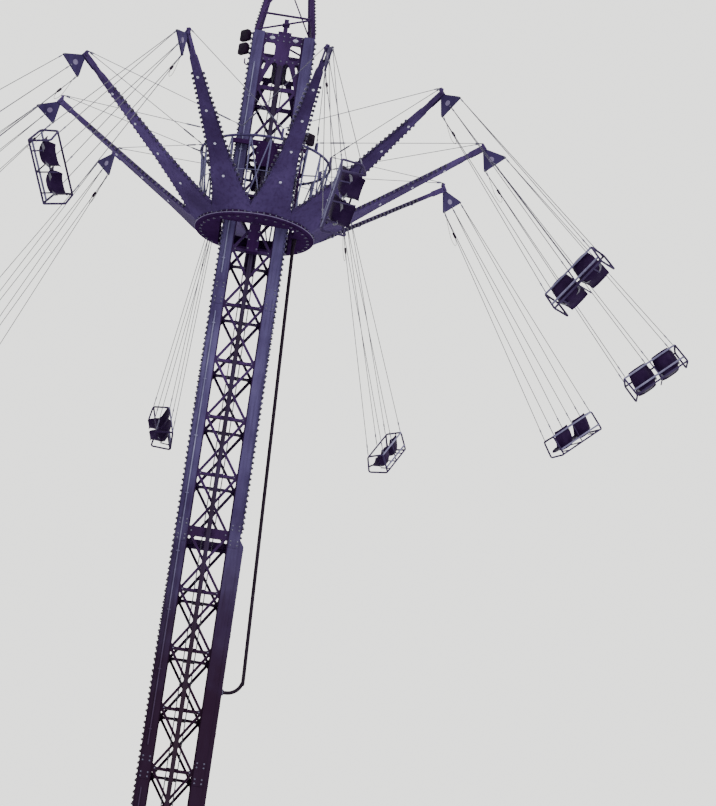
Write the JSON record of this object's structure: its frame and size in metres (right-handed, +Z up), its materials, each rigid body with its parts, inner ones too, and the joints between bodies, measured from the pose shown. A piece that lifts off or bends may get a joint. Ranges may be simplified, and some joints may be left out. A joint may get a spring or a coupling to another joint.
{
  "type": "chair swing ride",
  "caption": "Fairground chair swing ride: lattice tower with a lifting, turning hub, sloping arms and twin-seat chairs hung on cables.",
  "frame": {"origin": "centre of the base flange's flat underside, at ground level, on the tower's axis", "axes": "+Z up the tower, -Y towards the face seen in the picture, +X to its right"},
  "size_m": [17.4638, 17.4162, 28.61],
  "materials": {
    "dark_steel": "worn satin",
    "tower_steel": "worn satin",
    "arm_steel": "worn satin",
    "hanger_steel": "satin",
    "chair_paint": "satin",
    "stay_cable": "galvanised",
    "rubber_cable": "matt",
    "lamp_housing": "matt"
  },
  "bodies": {
    "tower": {"base_flange": "dark_steel", "column_front_left": "tower_steel", "column_front_right": "tower_steel", "column_rear_left": "tower_steel", "column_rear_right": "tower_steel", "lattice_front": "dark_steel", "lattice_right": "dark_steel", "lattice_rear": "dark_steel", "lattice_left": "dark_steel", "head_frame_front": "dark_steel", "head_frame_right": "dark_steel", "head_frame_rear": "dark_steel", "head_frame_left": "dark_steel", "guide_rail_front": "tower_steel", "guide_rail_rear": "tower_steel", "sheave_block": "dark_steel", "hoist_rope_left": "stay_cable", "hoist_rope_right": "stay_cable", "mast": "dark_steel", "trunking": "tower_steel", "supply_cable": "rubber_cable", "floodlight_head_upper": "lamp_housing", "floodlight_head_lower": "lamp_housing"},
    "carriage": {"carriage": "dark_steel"},
    "rotor": {"rotor_ring": "dark_steel", "cage": "tower_steel", "stays_odd": "stay_cable", "stays_even": "stay_cable", "floodlight_hub": "lamp_housing", "arm_01": "arm_steel", "arm_02": "arm_steel", "arm_03": "arm_steel", "arm_04": "arm_steel", "arm_05": "arm_steel", "arm_06": "arm_steel", "arm_07": "arm_steel", "arm_08": "arm_steel", "arm_09": "arm_steel", "arm_10": "arm_steel"},
    "swing_01": {"hanger_01": "hanger_steel", "chair_01": "chair_paint"},
    "swing_02": {"hanger_02": "hanger_steel", "chair_02": "chair_paint"},
    "swing_03": {"hanger_03": "hanger_steel", "chair_03": "chair_paint"},
    "swing_04": {"hanger_04": "hanger_steel", "chair_04": "chair_paint"},
    "swing_05": {"hanger_05": "hanger_steel", "chair_05": "chair_paint"},
    "swing_06": {"hanger_06": "hanger_steel", "chair_06": "chair_paint"},
    "swing_07": {"hanger_07": "hanger_steel", "chair_07": "chair_paint"},
    "swing_08": {"hanger_08": "hanger_steel", "chair_08": "chair_paint"},
    "swing_09": {"hanger_09": "hanger_steel", "chair_09": "chair_paint"},
    "swing_10": {"hanger_10": "hanger_steel", "chair_10": "chair_paint"}
  },
  "joints": [
    {"name": "carriage_lift", "type": "slide", "parent": "tower", "child": "carriage", "axis": [0, 0, 1], "range_m": [-16, 1.2], "deforming": ["supply_cable"]},
    {"name": "rotor_spin", "type": "hinge", "parent": "carriage", "child": "rotor", "pos_m": [0, 0, 20.49], "axis": [0, 0, 1], "continuous": true},
    {"name": "chair_swing_01", "type": "hinge", "parent": "rotor", "child": "swing_01", "pos_m": [0.82592, -4.20975, 22.86], "axis": [-0.9813, -0.1925, 0], "range_deg": [-50, 12]},
    {"name": "chair_swing_02", "type": "hinge", "parent": "rotor", "child": "swing_02", "pos_m": [3.14261, -2.92029, 22.86], "axis": [-0.6807, -0.7325, 0], "range_deg": [-50, 12]},
    {"name": "chair_swing_03", "type": "hinge", "parent": "rotor", "child": "swing_03", "pos_m": [4.25893, -0.51539, 22.86], "axis": [-0.1201, -0.9928, 0], "range_deg": [-50, 12]},
    {"name": "chair_swing_04", "type": "hinge", "parent": "rotor", "child": "swing_04", "pos_m": [3.74848, 2.08638, 22.86], "axis": [0.4863, -0.8738, 0], "range_deg": [-50, 12]},
    {"name": "chair_swing_05", "type": "hinge", "parent": "rotor", "child": "swing_05", "pos_m": [1.80624, 3.89122, 22.86], "axis": [0.907, -0.421, 0], "range_deg": [-50, 12]},
    {"name": "chair_swing_06", "type": "hinge", "parent": "rotor", "child": "swing_06", "pos_m": [-0.82592, 4.20975, 22.86], "axis": [0.9813, 0.1925, 0], "range_deg": [-50, 12]},
    {"name": "chair_swing_07", "type": "hinge", "parent": "rotor", "child": "swing_07", "pos_m": [-3.14261, 2.92029, 22.86], "axis": [0.6807, 0.7325, 0], "range_deg": [-50, 12]},
    {"name": "chair_swing_08", "type": "hinge", "parent": "rotor", "child": "swing_08", "pos_m": [-4.25893, 0.51539, 22.86], "axis": [0.1201, 0.9928, 0], "range_deg": [-50, 12]},
    {"name": "chair_swing_09", "type": "hinge", "parent": "rotor", "child": "swing_09", "pos_m": [-3.74848, -2.08638, 22.86], "axis": [-0.4863, 0.8738, 0], "range_deg": [-50, 12]},
    {"name": "chair_swing_10", "type": "hinge", "parent": "rotor", "child": "swing_10", "pos_m": [-1.80624, -3.89122, 22.86], "axis": [-0.907, 0.421, 0], "range_deg": [-50, 12]}
  ]
}
